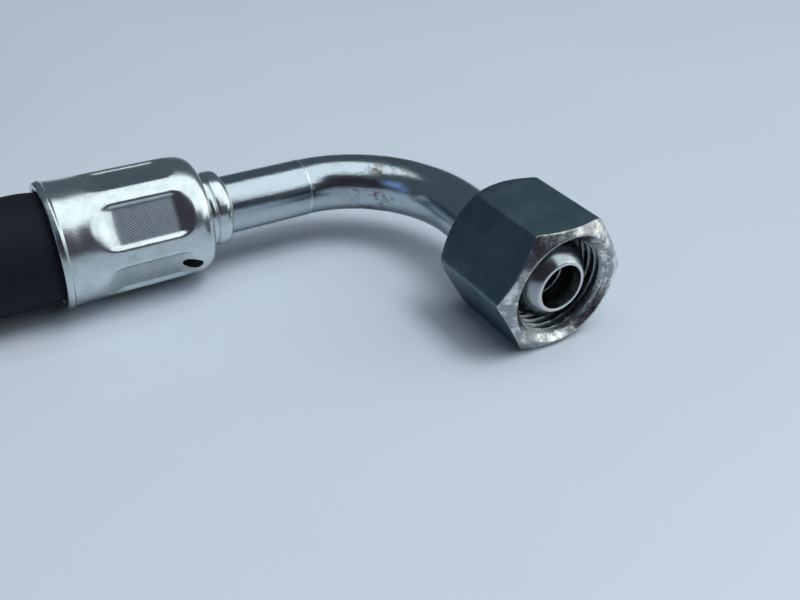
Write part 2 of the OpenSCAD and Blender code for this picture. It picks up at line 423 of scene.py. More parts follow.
def ferrule_zinc():
    """Bright zinc with cloudy patches and fine scratches; the front pocket's floor is hatched."""
    s = Shade("ferrule_zinc", Metallic=1.0)
    local = s.attribute("local")
    floor = s.attribute("floor", "Fac")
    hatched = s.attribute("hatched", "Fac")
    cloud = s.ramp(s.noise(local, 0.35, 5), 0.42, 0.68)
    stain = s.ramp(s.noise(local, 1.3, 6, 0.65), 0.56, 0.72)
    mottle = s.ramp(s.noise(local, 3.0, 5, 0.7), 0.45, 0.75)
    grain = s.noise(s.stretched(local, (0.5, 4, 4)), 1.6, 5, 0.6)
    tint = s.mix(cloud, colour(0.63, 0.69, 0.70), colour(0.53, 0.61, 0.59))
    tint = s.mix(s.maths("MULTIPLY", stain, 0.5), tint, colour(0.34, 0.38, 0.40))
    tint = s.mix(s.maths("MULTIPLY", mottle, 0.25), tint, colour(0.72, 0.76, 0.78))
    tint = s.mix(s.maths("MULTIPLY", floor, 0.35), tint, colour(0.30, 0.34, 0.36))
    wave = s.waves(s.attribute("hatch"), 0.78, Distortion=1.7, Detail=3.0)
    broken = s.maths("MULTIPLY", wave, s.blend(s.noise(local, 0.9, 5, 0.7), -0.4, 2.2))
    tint = s.mix(s.maths("MULTIPLY", hatched, 0.82), tint, colour(0.180, 0.230, 0.285))
    lines = s.maths("MULTIPLY", broken, s.maths("MULTIPLY", hatched, 0.5))
    tint = s.mix(lines, tint, colour(0.42, 0.46, 0.50))
    rough = s.blend(grain, 0.14, 0.31)
    rough = s.maths("ADD", rough, s.maths("MULTIPLY", floor, 0.06))
    rough = s.maths("ADD", rough, s.maths("MULTIPLY", hatched, 0.14))
    normal = s.bump(s.maths("MULTIPLY", broken, hatched), 0.00005, 0.35)
    normal = s.bump(grain, 0.00002, 0.5, normal)
    normal = s.bump(s.noise(local, 0.5, 3), 0.0003, 0.10, normal)
    return s.paint(Base_Color=tint, Roughness=rough, Normal=normal)


def tube_zinc():
    """Polished zinc with lines along the tube and a few brown stains."""
    s = Shade("tube_zinc", Metallic=1.0)
    lay = s.attribute("lay")
    lines = s.noise(s.stretched(lay, (0.06, 2.2, 1)), 2.0, 4, 0.6)
    cloud = s.noise(lay, 0.25, 4)
    spots = s.noise(s.stretched(lay, (0.6, 1, 1)), 0.36, 8, 0.74)
    worn = s.attribute("worn", "Fac")
    stain = s.maths("MULTIPLY", s.ramp(spots, 0.47, 0.60), worn)
    # the bender's rubbed mark on the tube; the same attribute carries a painted highlight on the nose tip
    rub_and_highlight = s.attribute("rub_and_highlight", "Fac")
    tint = s.mix(cloud, colour(0.48, 0.55, 0.60), colour(0.38, 0.45, 0.48))
    tint = s.mix(s.maths("MULTIPLY", s.ramp(lines, 0.5, 0.8), 0.3), tint, colour(0.34, 0.38, 0.40))
    tint = s.mix(s.maths("MULTIPLY", stain, 0.85), tint, colour(0.13, 0.10, 0.08))
    tint = s.mix(rub_and_highlight, tint, colour(0.90, 0.94, 0.96))
    rough = s.maths("ADD", s.blend(lines, 0.09, 0.22), s.maths("MULTIPLY", stain, 0.3))
    rough = s.maths("ADD", rough, s.maths("MULTIPLY", rub_and_highlight, 0.25))
    normal = s.bump(lines, 0.00003, 0.6)
    normal = s.bump(s.noise(lay, 0.8, 3), 0.0001, 0.2, normal)
    return s.paint(Base_Color=tint, Roughness=rough, Normal=normal)


def turned_zinc(name, light, dark, green):
    """Lathe-turned zinc with fine rings and a faint green passivation."""
    s = Shade(name, Metallic=1.0)
    local = s.attribute("local")
    rings = s.noise(s.stretched(local, (9, 0.3, 0.3)), 1.0, 3, 0.6)
    cloud = s.ramp(s.noise(local, 0.5, 5), 0.40, 0.66)
    spots = s.ramp(s.noise(local, 2.4, 5, 0.7), 0.63, 0.72)
    tint = s.mix(cloud, light, green)
    tint = s.mix(s.maths("MULTIPLY", spots, 0.6), tint, dark)
    # painted highlight: brightens the near nose's tip ring
    tint = s.mix(s.attribute("rub_and_highlight", "Fac"), tint, colour(0.80, 0.84, 0.84))
    rough = s.blend(rings, 0.12, 0.28)
    normal = s.bump(rings, 0.00002, 0.5)
    return s.paint(Base_Color=tint, Roughness=rough, Normal=normal)


def nut_zinc():
    """Dull blue-grey flats; bright, spotted, machined faces and worn edges; painted shade darkens the
    thread deep inside.
    """
    s = Shade("nut_zinc", Metallic=1.0)
    local = s.attribute("local")
    bright = s.attribute("bright", "Fac")
    fine = s.noise(local, 3.2, 6, 0.7)
    cloud = s.ramp(s.noise(local, 0.22, 5), 0.36, 0.68)
    flat = s.mix(cloud, colour(0.105, 0.165, 0.195), colour(0.145, 0.210, 0.245))
    flat = s.mix(s.ramp(fine, 0.58, 0.74), flat, colour(0.24, 0.32, 0.36))
    pits = s.ramp(s.noise(local, 1.4, 6, 0.72), 0.56, 0.64)
    patches = s.ramp(s.noise(local, 0.5, 5, 0.6), 0.36, 0.56)
    shiny = s.mix(patches, colour(0.80, 0.81, 0.77), colour(0.32, 0.34, 0.35))
    shiny = s.mix(pits, shiny, colour(0.12, 0.11, 0.10))
    # painted shade: the thread deep inside the nut is darkened
    shiny = s.mix(s.attribute("inner", "Fac"), shiny, colour(0.22, 0.25, 0.26))
    uneven = s.maths("SUBTRACT", fine, 0.5)
    edge = s.ramp(s.maths("ADD", bright, s.maths("MULTIPLY", uneven, 0.7)), 0.35, 0.6)
    tint = s.mix(edge, flat, shiny)
    rough = s.blend(edge, 0.46, 0.24)
    rough = s.maths("ADD", rough, s.maths("MULTIPLY", uneven, 0.3))
    normal = s.bump(fine, 0.00004, 0.5)
    normal = s.bump(s.noise(s.stretched(local, (1, 1, 3)), 0.7, 4), 0.0002, 0.15, normal)
    return s.paint(Base_Color=tint, Roughness=rough, Normal=normal)


def braze_metal():
    """Rippled brazing metal, a little duller than the zinc."""
    s = Shade("braze_metal", Metallic=1.0)
    ripple = s.noise(s.attribute("local"), 1.8, 4)
    tint = s.mix(ripple, colour(0.50, 0.54, 0.55), colour(0.40, 0.43, 0.42))
    rough = s.blend(ripple, 0.22, 0.42)
    return s.paint(Base_Color=tint, Roughness=rough, Normal=s.bump(ripple, 0.0002, 0.6))


def cover_rubber():
    """Matt black rubber, slightly blue, with pale dust specks and a faint wrapped weave."""
    s = Shade("cover_rubber", Specular_IOR_Level=0.22)
    lay = s.attribute("lay")
    cloud = s.noise(lay, 0.08, 5)
    dust = s.ramp(s.noise(lay, 1.5, 3, 0.8), 0.70, 0.76)
    warm = s.noise(lay, 0.6, 2)
    base = s.mix(cloud, colour(0.004, 0.005, 0.009), colour(0.008, 0.009, 0.016))
    speck = s.mix(warm, colour(0.16, 0.15, 0.17), colour(0.20, 0.13, 0.10))
    tint = s.mix(s.maths("MULTIPLY", dust, 0.5), base, speck)
    along, across = (s.waves(lay, 0.42, direction, Distortion=0.8) for direction in "XY")
    weave = s.maths("ADD", along, across)
    rough = s.blend(s.noise(lay, 0.9, 5, 0.7), 0.55, 0.82)
    normal = s.bump(weave, 0.00003, 0.35)
    normal = s.bump(s.noise(lay, 2.0, 5, 0.7), 0.00008, 0.5, normal)
    return s.paint(Base_Color=tint, Roughness=rough, Normal=normal)


def inner_rubber():
    """Smooth black rubber of the layers inside the hose."""
    s = Shade("inner_rubber", Specular_IOR_Level=0.4)
    grain = s.noise(s.attribute("lay"), 0.8, 5)
    tint = s.mix(grain, colour(0.012, 0.012, 0.013), colour(0.030, 0.029, 0.029))
    rough = s.blend(grain, 0.45, 0.7)
    return s.paint(Base_Color=tint, Roughness=rough, Normal=s.bump(grain, 0.0001, 0.4))


def braid_wire():
    """Bright steel wires crossing at the braid angle."""
    s = Shade("braid_wire", Metallic=1.0)
    lay = s.attribute("lay")
    heights = []
    for angle in (BRAID_ANGLE, -BRAID_ANGLE):
        inputs = {"Vector": lay, "Angle": angle}
        turned = s.node("ShaderNodeVectorRotate", inputs, rotation_type="Z_AXIS").outputs[0]
        heights.append(s.waves(turned, 0.5))
    wires = s.maths("MAXIMUM", *heights)
    tint = s.mix(wires, colour(0.10, 0.10, 0.11), colour(0.62, 0.62, 0.60))
    rough = s.blend(wires, 0.5, 0.28)
    return s.paint(Base_Color=tint, Roughness=rough, Normal=s.bump(wires, 0.0002, 0.8))


def tie_nylon():
    """Black moulded nylon with a fine grain."""
    s = Shade("tie_nylon", Specular_IOR_Level=0.45)
    local = s.attribute("local")
    grain = s.noise(local, 2.5, 4)
    tint = s.mix(s.noise(local, 0.4, 4), colour(0.016, 0.016, 0.017), colour(0.030, 0.030, 0.031))
    rough = s.blend(grain, 0.32, 0.5)
    return s.paint(Base_Color=tint, Roughness=rough, Normal=s.bump(grain, 0.00004, 0.5))


def pale_floor():
    """Pale bluish white sheet with a faint mottling and a soft gloss."""
    s = Shade("pale_floor")
    place = s.node("ShaderNodeTexCoord").outputs["Object"]
    broad = s.noise(place, 9, 3)
    fine = s.noise(place, 900, 3)
    tint = s.mix(broad, colour(0.545, 0.60, 0.665), colour(0.575, 0.625, 0.685))
    normal = s.bump(fine, 0.0001, 0.04)
    return s.paint(Base_Color=tint, Roughness=s.blend(broad, 0.26, 0.34), Normal=normal)


def dark_cloth():
    """The dark sheet that stands for the viewer in the metal's reflections."""
    s = Shade("dark_cloth", Roughness=0.9, Specular_IOR_Level=0.1)
    place = s.node("ShaderNodeTexCoord").outputs["Object"]
    weave = s.noise(place, 60, 4)
    return s.paint(Base_Color=s.mix(weave, colour(0.10, 0.07, 0.09), colour(0.16, 0.11, 0.14)))


FERRULE_ZINC = ferrule_zinc()
TUBE_ZINC = tube_zinc()
COLLAR_ZINC = turned_zinc(
    "collar_zinc",
    light=colour(0.64, 0.69, 0.72),
    dark=colour(0.20, 0.20, 0.19),
    green=colour(0.54, 0.62, 0.61),
)
# painted shade: a darker copy of the turned zinc, used only for the near ball nose inside its nut
HEAD_ZINC_PAINTED_SHADE = turned_zinc(
    "head_zinc_painted_shade",
    light=colour(0.36, 0.37, 0.41),
    dark=colour(0.12, 0.10, 0.10),
    green=colour(0.33, 0.42, 0.39),
)
NUT_ZINC = nut_zinc()
BRAZE = braze_metal()
COVER = cover_rubber()
RUBBER = inner_rubber()
WIRE = braid_wire()
NYLON = tie_nylon()


# ---- hose
def rise(turn, span):
    """How much of an eased rise over a span of the coil is done, 0 to 1."""
    start, end = span
    share = min(1.0, max(0.0, (turn - start) / (end - start)))
    return (1 - math.cos(math.pi * share)) / 2


def coil_height(turn):
    """The height of the hose's middle: one turn on the surface, then up over its start."""
    return (
        AXIS_Z
        + (DIP_Z - AXIS_Z) * rise(turn, DIP_TURNS)
        + (SECOND_Z - DIP_Z) * rise(turn, CLIMB_TURNS)
        + (END_Z - SECOND_Z) * rise(turn, LAST_RISE)
    )


COIL_CENTRE = mouth_a + Vector((-LEAD_LEN, COIL_R, 0)) * MM


def coil_point(turn):
    """The hose's middle at a place round the coil."""
    angle = math.radians(turn)
    return Vector((
        COIL_CENTRE.x - COIL_R * MM * math.sin(angle),
        COIL_CENTRE.y - COIL_R * MM * math.cos(angle),
        mouth_a.z + (coil_height(turn) - AXIS_Z) * MM,
    ))


def hose_route():
    """Points along the hose's middle, and how far each lies inside a ferrule, in mm."""
    points, inside = [], []

    def straight(end, places):
        for x in places:
            points.append(end @ Vector((x, 0, 0)))
            inside.append(x)

    fine_step, lead_step, turn_step = 1.5, 4, 2
    fine_reach_a, lead_start, fine_reach_b, last_gap = 12, 16, 9, 6
    straight(END_A, np.arange(HOSE_STOP, -fine_reach_a, -fine_step))
    straight(END_A, -np.arange(lead_start, LEAD_LEN, lead_step))
    for turn in np.arange(0, COIL_TURN - last_gap, turn_step):
        points.append(coil_point(turn))
        inside.append(-LEAD_LEN)
    straight(END_B, [*np.arange(-fine_reach_b, HOSE_STOP, fine_step), HOSE_STOP])
    return np.array(points), np.array(inside)


ROUTE, INSIDE = hose_route()


def hose_layer(name, r_in, r_out, columns, material, node):
    """One tubular layer of the hose, squeezed where the ferrules grip it; its pattern has no seam."""
    steps = np.diff(ROUTE, axis=0)
    tangents = np.vstack([steps[:1], (steps[:-1] + steps[1:]), steps[-1:]])
    tangents /= np.linalg.norm(tangents, axis=1, keepdims=True)
    side = np.cross([0, 0, 1.0], tangents)
    side /= np.linalg.norm(side, axis=1, keepdims=True)
    above = np.cross(tangents, side)
    travelled = np.concatenate([[0], np.cumsum(np.linalg.norm(steps, axis=1))]) / MM
    squeeze = (CRIMPED_HOSE_R - HOSE_BORE_R) / (HOSE_R - HOSE_BORE_R)
    grip_start, grip_rise = -3, 6
    grip = smooth((INSIDE - grip_start) / grip_rise)
    angles = even_angles(columns)
    count = len(ROUTE)
    points, lay = [], []
    for radius, order in ((r_out, range(count)), (r_in, range(count - 1, -1, -1))):
        for i in order:
            r = HOSE_BORE_R + (radius - HOSE_BORE_R) * (1 + (squeeze - 1) * grip[i])
            rim = np.cos(angles)[:, None] * side[i] + np.sin(angles)[:, None] * above[i]
            points.append(ROUTE[i] + r * MM * rim)
            unrolled = np.abs(angles - math.pi) * radius
            lay.append(np.stack([np.full(columns, travelled[i]), unrolled, 2 * np.sin(angles)], axis=-1))
    mesh = closed_mesh(name, np.concatenate(points), ring_faces(2 * count, columns))
    set_attribute(mesh, "lay", np.concatenate(lay))
    return add_piece(name, mesh, material, FIXED_BODY, node)


LAYER_COLUMNS = 32
COVER_COLUMNS = 64

cover = hose_layer(
    "hose_cover_rubber", OUTER_BRAID_R, HOSE_R, COVER_COLUMNS, COVER, "hose_cover"
)
hose_inside = [
    hose_layer(name, r_in, r_out, LAYER_COLUMNS, material, node)
    for name, r_in, r_out, material, slot, node in (
        ("outer_wire_braid", INTERLAYER_R, OUTER_BRAID_R, WIRE, "braid_wire", "outer_braid"),
        ("rubber_between_braids", INNER_BRAID_R, INTERLAYER_R, RUBBER, "inner_rubber", "braid_interlayer"),
        ("inner_wire_braid", LINER_R, INNER_BRAID_R, WIRE, "braid_wire", "inner_braid"),
        ("oil_liner", HOSE_BORE_R, LINER_R, RUBBER, "inner_rubber", "hose_liner"),
    )
]


# ---- ferrules
def pocket_share(x, angle, turn):
    """How fully a point of the sleeve lies on a pressed pocket's floor, 0 to 1, and the angle
    from the middle of the nearest pocket."""
    pitch = 2 * math.pi / POCKETS
    off = (angle - math.radians(turn) + pitch / 2) % pitch - pitch / 2
    across = FERRULE_R * np.sin(off)
    reach = POCKET_WIDTH / 2 + POCKET_EDGE
    round_end = np.sqrt(np.clip(1 - (across / reach) ** 2, 0, 1))
    near_ramp = 0.9 + 4.0 * round_end
    far_ramp = 0.5 + 2.9 * round_end
    share = smooth((reach - np.abs(across)) / POCKET_EDGE)
    share = share * smooth((x - POCKET_START + near_ramp) / near_ramp)
    share = share * smooth((POCKET_END + far_ramp - x) / far_ramp)
    return share, off


def ferrule_outline():
    """The sleeve with its rolled lip and rounded shoulder, before the pockets are pressed."""
    return refined(rounded([
        (0, FLARE_R - 1.3, 0.15),
        (0, FLARE_R - 0.35, 0.25),
        (0.95, FLARE_R, 0.2),
        (1.3, FLARE_R - 0.34, 0.15),
        (2.4, FLARE_R - 0.38, 0.6),
        (4.0, FERRULE_R, 0.9),
        (FERRULE_LEN, FERRULE_R, 4.2),
        (FERRULE_LEN, GROOVE_R, 0.1),
        (FERRULE_LEN - GROOVE_LEN, GROOVE_R, 0),
        (FERRULE_LEN - GROOVE_LEN, CRIMP_BORE_R, 0.3),
        (3.2, CRIMP_BORE_R, 0.6),
    ], 10), 0.33)


def ferrule(name, matrix, turn, node):
    """The sleeve with its pressed pockets, faint lines between them and the inspection hole."""
    outline = ferrule_outline()
    columns = 300
    x, r, angle = turned_grid(outline, columns)
    share, off = pocket_share(x, angle, turn)
    pressed = r + share * (np.minimum(POCKET_FLOOR / np.cos(off), r) - r)
    line_depth, line_width = 0.05, 0.06
    line_start, line_end, line_fade = 8, 23, 3
    line = line_depth * bell(np.abs(off), math.pi / POCKETS, line_width)
    line = line * smooth((x - line_start) / line_fade) * smooth((line_end - x) / line_fade)
    r = np.where(r > CRIMP_BORE_R + 0.3, pressed - line, r)
    local = around(x, r, angle)
    mesh = closed_mesh(name, apply_matrix(matrix, local), ring_faces(len(outline), columns))
    piece = add_piece(name, mesh, FERRULE_ZINC, FIXED_BODY, node)
    cut_peephole(piece, matrix, math.radians(turn - 360 / POCKETS))
    mark_ferrule(piece.data, matrix, turn)
    return piece


def cut_peephole(piece, matrix, angle):
    """Bores the inspection hole, slightly drawn out along the sleeve by the crimping."""
    sides = 40
    turns = even_angles(sides)
    inner, outer = 7.5, 13.0
    out = np.array([0, -math.cos(angle), math.sin(angle)])
    across = np.array([0, math.sin(angle), math.cos(angle)])
    points = []
    for distance in (inner, outer):
        for t in turns:
            points.append(
                np.array([PEEPHOLE_X + PEEPHOLE_HALF_LEN * math.cos(t), 0, 0])
                + PEEPHOLE_HALF_WIDTH * math.sin(t) * across + distance * out
            )
    faces = [[i, (i + 1) % sides, sides + (i + 1) % sides, sides + i] for i in range(sides)]
    faces += [list(range(sides)), list(range(2 * sides - 1, sides - 1, -1))]
    cutter_mesh = outward_mesh("cutter", apply_matrix(matrix, np.array(points)), faces)
    cutter = bpy.data.objects.new("cutter", cutter_mesh)
    bpy.context.scene.collection.objects.link(cutter)
    modifier = piece.modifiers.new("hole", "BOOLEAN")
    modifier.operation = "DIFFERENCE"
    modifier.solver = "EXACT"
    modifier.object = cutter
    seen = piece.evaluated_get(bpy.context.evaluated_depsgraph_get())
    bored = bpy.data.meshes.new_from_object(seen)
    piece.modifiers.clear()
    piece.data = bored
    bpy.data.objects.remove(cutter)
    bored.set_sharp_from_angle(angle=CREASE)


def mark_ferrule(mesh, matrix, turn):
    """Stores local places, the pocket floors, and where and which way the front one is hatched."""
    local = local_coordinates(mesh, matrix)
    x = local[:, 0]
    r = np.hypot(local[:, 1], local[:, 2])
    angle = np.arctan2(local[:, 2], -local[:, 1])
    share, off = pocket_share(x, angle, turn)
    on_floor = smooth((share - 0.9) / 0.1) * (r > CRIMP_BORE_R + 0.2)
    front_pocket = np.cos(angle - math.radians(turn)) > math.cos(math.pi / POCKETS)
    slope = math.radians(42)
    across = FERRULE_R * off
    hatch = x * math.cos(slope) + across * math.sin(slope)
    set_attribute(mesh, "local", local)
    set_attribute(mesh, "floor", on_floor)
    set_attribute(mesh, "hatched", on_floor * front_pocket)
    set_attribute(mesh, "hatch", np.stack([hatch, across, x], axis=-1))


ferrule("crimp_ferrule_a", END_A, POCKET_TURN_A, "ferrule_a")
ferrule_far = ferrule("crimp_ferrule_b", END_B, POCKET_TURN_B, "ferrule_b")


# ---- tails, tube, heads
def barbed_tail(collar_r):
    """The outline's stretch from the tail's tip to the collar's near edge."""
    barbs, first, pitch = 6, 1.6, 3.4
    ramp_len, drop_len, height = 2.8, 0.3, 0.35
    points = [(0, HOSE_BORE_R - 0.6, 0.1), (0.8, HOSE_BORE_R, 0.1)]
    for k in range(barbs):
        start = first + pitch * k
        points += [
            (start, HOSE_BORE_R, 0),
            (start + ramp_len, HOSE_BORE_R + height, 0.05),
            (start + ramp_len + drop_len, HOSE_BORE_R, 0),
        ]
    return points + [
        (HOSE_STOP, HOSE_BORE_R, 0),
        (HOSE_STOP, collar_r, 0.2),
        (FERRULE_LEN - GROOVE_LEN, collar_r, 0.1),
        (FERRULE_LEN - GROOVE_LEN, GROOVE_R, 0),
        (FERRULE_LEN, GROOVE_R, 0),
    ]


def collar_tail():
    """The near tail with its grooved collar, bored out to take the tube."""
    line_x, line_half, line_depth = 27.55, 0.25, 0.32
    outline = rounded(barbed_tail(COLLAR_R) + [
        (FERRULE_LEN, COLLAR_R - 0.2, 0.2),
        (line_x - line_half, COLLAR_R, 0.5),
        (line_x, COLLAR_R - line_depth, 0.25),
        (line_x + line_half, COLLAR_R, 0.5),
        (COLLAR_END, COLLAR_R, 1.9),
        (COLLAR_END, TUBE_R, 0),
        (COLLAR_END - SOCKET_DEPTH, TUBE_R, 0),
        (COLLAR_END - SOCKET_DEPTH, TUBE_BORE_R, 0),
        (0, TUBE_BORE_R, 0.1),
    ], 6)
    mesh = lathe("collar_and_tail", END_A, outline)
    add_piece("collar_and_tail", mesh, COLLAR_ZINC, FIXED_BODY, "hose_tail_a")


def ball_nose(shift=0.0):
    """The outline's stretch from the neck over the ball to the tip, at the nut's open end."""
    tip_angle = math.degrees(math.asin(NOSE_TIP_R / BALL_R))
    ball = arc(shift - BALL_BACK, BALL_R, 90, tip_angle + 2, 22)
    tip = shift - NOSE_RECESS
    land_len, ring_depth, ring_height = 2.2, 5.0, 0.15
    return [
        (shift - NECK_START, NECK_R, 0.4),
        (shift - BALL_BACK - land_len, BALL_R, 0.3),
        *ball,
        (tip, NOSE_TIP_R, 0.14),
        (tip, NOSE_BORE_R, 0.14),
        (tip - ring_depth + 0.2, NOSE_BORE_R, 0.05),
        (tip - ring_depth, NOSE_BORE_R - ring_height, 0.05),
        (tip - ring_depth - 0.4, NOSE_BORE_R, 0.05),
    ]


def swivel_head():
    """The near ball nose with its neck, bored out to take the tube; its tip ring is brightened as a
    painted highlight.
    """
    outline = rounded([
        (-NECK_END, TUBE_R, 0),
        (-NECK_END, NECK_R, 0.3),
        *ball_nose(),
        (-BALL_BACK - 3, NOSE_BORE_R, 0),
        (-BALL_BACK - 3, TUBE_BORE_R, 0.1),
        (-TUBE_END, TUBE_BORE_R, 0),
        (-TUBE_END, TUBE_R, 0),
    ], 5)
    mesh = lathe("ball_nose_head", HEAD_A, outline, 128)
    x = local_coordinates(mesh, HEAD_A)[:, 0]
    # painted highlight: a bright ring on the nose tip
    set_attribute(mesh, "rub_and_highlight", 0.5 * smooth((x + NOSE_RECESS + 0.20) / 0.12))
    add_piece("ball_nose_head", mesh, HEAD_ZINC_PAINTED_SHADE, FIXED_BODY, "cone_head_a")


def straight_insert():
    """The far end in one piece: barbs, collar, neck and ball nose."""
    reach = COLLAR_END + NUT_OUT
    outline = rounded(barbed_tail(SLIM_COLLAR_R) + [
        (FERRULE_LEN, SLIM_COLLAR_R - 0.2, 0.2),
        (COLLAR_END, SLIM_COLLAR_R, 0.3),
        (COLLAR_END, NECK_R, 0.1),
        *ball_nose(reach),
        (reach - BALL_BACK - 3, NOSE_BORE_R, 0),
        (reach - BALL_BACK - 3, TUBE_BORE_R, 0.1),
        (0, TUBE_BORE_R, 0.1),
    ], 5)
    mesh = lathe("straight_insert", END_B, outline, 128)
    return add_piece("straight_insert", mesh, COLLAR_ZINC, FIXED_BODY, "straight_insert_b")


def braze_ring(name, matrix, x0, direction, node):
    """A hollow fillet of brazing metal around the tube; x0 is its broad end."""
    size = 0.7
    hollow = [(x0 + direction * size * (1 - math.cos(t)), TUBE_R + size * (1 - math.sin(t)))
              for t in np.linspace(0, math.pi / 2, 8)]
    outline = np.array([(x0, TUBE_R)] + hollow)
    mesh = lathe(name, matrix, outline)
    add_piece(name, mesh, BRAZE, FIXED_BODY, node)


def elbow_path():
    """(distance, place, direction) along the tube's middle in the fitting's frame, in mm."""
    start = COLLAR_END - SOCKET_DEPTH
    fine_before, fine_after, fine_step = 1.2, 2, 0.1
    run_step, bend_step = 1.5, 0.8
    stations = list(np.arange(start, BEND_START - fine_before, run_step))
    stations += list(np.arange(BEND_START - fine_before, BEND_START, fine_step))
    stations += list(BEND_START + np.arange(0, fine_after, fine_step))
    stations += list(BEND_START + np.arange(fine_after, BEND_LEN, bend_step))
    stations += list(BEND_START + BEND_LEN + np.linspace(0, NUT_OUT - TUBE_END, 10))
    path = []
    for s in stations:
        if s <= BEND_START:
            path.append((s, (s, 0.0), (1.0, 0.0)))
            continue
        turn = min(math.pi / 2, (s - BEND_START) / BEND_R)
        past = max(0.0, s - BEND_START - BEND_LEN)
        place = (BEND_START + BEND_R * math.sin(turn), -BEND_R * (1 - math.cos(turn)) - past)
        path.append((s, place, (math.cos(turn), -math.sin(turn))))
    return path


def elbow_tube():
    """The bent tube, slightly oval in its bend, with the bender's mark where the bend starts."""
    columns = 96
    angles = even_angles(columns)
    path = elbow_path()
    oval_run, flattened, widened = 6, 0.018, 0.010
    mark_height, mark_width, drawn_in, drawn_run = 0.012, 0.25, 0.05, 1.2
    points, lay, worn, rub_and_highlight = [], [], [], []
    for radius, order in ((TUBE_R, path), (TUBE_BORE_R, path[::-1])):
        for s, (x, y), (dx, dy) in order:
            past = s - BEND_START
            bent = smooth(past / oval_run) * smooth((BEND_LEN - past) / oval_run)
            mark = mark_height * bell(past, 0, mark_width) - drawn_in * smooth(past / drawn_run)
            r = radius + (mark if radius == TUBE_R else 0)
            in_plane = r * (1 - flattened * bent)
            upright = r * (1 + widened * bent)
            left = np.array([-dy, dx, 0.0])
            rim = (np.cos(angles)[:, None] * left * in_plane
                   + np.sin(angles)[:, None] * np.array([0, 0, 1.0]) * upright)
            points.append(np.array([x, y, 0]) + rim)
            unrolled = np.abs(angles - math.pi) * radius
            lay.append(np.stack([np.full(columns, s), unrolled, 3 * np.sin(angles)], axis=-1))
            worn.append(np.full(columns, bell(past, 16, 6)))
            rub_and_highlight.append(np.full(columns, 0.6 * bell(past, 0.1, 0.22)))
    faces = ring_faces(2 * len(path), columns)
    mesh = closed_mesh("elbow_tube", apply_matrix(END_A, np.concatenate(points)), faces)
    set_attribute(mesh, "lay", np.concatenate(lay))
    set_attribute(mesh, "worn", np.concatenate(worn))
    set_attribute(mesh, "rub_and_highlight", np.concatenate(rub_and_highlight))
    add_piece("elbow_tube", mesh, TUBE_ZINC, FIXED_BODY, "elbow_tube_a")


collar_tail()
elbow_tube()
swivel_head()
braze_ring("braze_at_collar", END_A, COLLAR_END, 1, "braze_ring_tail_a")
braze_ring("braze_at_head", HEAD_A, -NECK_END, -1, "braze_ring_head_a")
insert_far = straight_insert()


# ---- union nuts
def hexagon(angle):
    """The distance from the axis to a hexagon with slightly eased corners."""
    sector = math.pi / 3
    off = (angle - math.radians(30) + sector / 2) % sector - sector / 2
    near = np.cos(off)
    other = np.cos(sector - np.abs(off))
    half_af = NUT_AF / 2
    ease = 0.55
    close = np.clip(ease - half_af / near * (near - other), 0, None) / ease
    return (half_af - close**2 * ease / 4) / near


def thread_height(x, angle):
    """How far the internal thread stands out from its minor radius, in mm."""
    land_share, flank_share = 0.25, 0.625
    phase = (x / THREAD_PITCH + angle / (2 * math.pi)) % 1
    slope = np.abs(phase - 0.5) * 2
    full = THREAD_MAJOR_R - THREAD_MINOR_R
    return full * np.clip((slope - land_share) / flank_share, 0, 1)


def rows_between(a, b, count):
    """count rows from a up to but not including b, each an (x, r) pair."""
    return [(a[0] + (b[0] - a[0]) * k / count, a[1] + (b[1] - a[1]) * k / count) for k in range(count)]


def nut_columns():
    """Angles around the nut, closer together near its corners."""
    per_flat = 34
    t = (np.arange(per_flat) + 0.5) / per_flat * 2 - 1
    off = np.radians(30) * np.sin(t * math.pi / 2)
    middles = np.radians(30 + 60 * np.arange(6))
    return (middles[:, None] + off).ravel()


def nut_outside(hexed, front_x, back_x, worn):
    """Rows over the open end's face, its chamfer, the flats and the back chamfer."""
    margin = 0.1
    front_drop = margin * (hexed - FRONT_FACE_R)
    back_drop = margin * (hexed - BACK_FACE_R)
    back_in = margin * (back_x + NUT_LEN)
    rows = rows_between((0, MOUTH_R), (0, FRONT_FACE_R - 0.06), 2)
    rows += [(0, FRONT_FACE_R - 0.06), (-0.02, FRONT_FACE_R)]
    chamfer_start = (margin * front_x, FRONT_FACE_R + front_drop)
    chamfer_end = ((1 - margin) * front_x, hexed - front_drop)
    rows += rows_between(chamfer_start, chamfer_end, 6)
    rows += [chamfer_end, (front_x - 0.1 * worn, hexed - 0.35 * worn), (front_x - worn, hexed)]
    rows += rows_between((front_x - worn - 0.3, hexed), (back_x + worn + 0.3, hexed), 12)
    rows += [(back_x + worn, hexed), (back_x + 0.1 * worn, hexed - 0.35 * worn)]
    rows += rows_between(
        (back_x - back_in, hexed - back_drop), (back_in - NUT_LEN, BACK_FACE_R + back_drop), 6
    )
    return rows


def nut_inside(angle):
    """Rows over the back face, the bore, the shoulder and the thread, out to the mouth."""
    ease = 0.3
    shoulder_x = -NUT_SEAT - (NUT_SEAT_R - NUT_BORE_R)
    rows = rows_between((-NUT_LEN, BACK_FACE_R - 0.1), (-NUT_LEN, NUT_BORE_R + ease), 5)
    rows += [(-NUT_LEN, NUT_BORE_R + ease), (ease - NUT_LEN, NUT_BORE_R)]
    rows += rows_between((2 * ease - NUT_LEN, NUT_BORE_R), (shoulder_x, NUT_BORE_R), 4)
    rows += rows_between((shoulder_x, NUT_BORE_R), (-NUT_SEAT, NUT_SEAT_R), 5)
    rows += [(-NUT_SEAT, NUT_SEAT_R), (-NUT_SEAT, THREAD_MINOR_R)]
    rows_per_turn, fade_len = 18, 1.2
    for x in np.arange(0.1 - NUT_SEAT, -0.01, THREAD_PITCH / rows_per_turn):
        fade = smooth((x + THREAD_END + fade_len / 2) / fade_len)
        r = THREAD_MINOR_R + thread_height(x, angle) * fade
        rows.append((x, np.maximum(r, MOUTH_R + x)))
    return rows


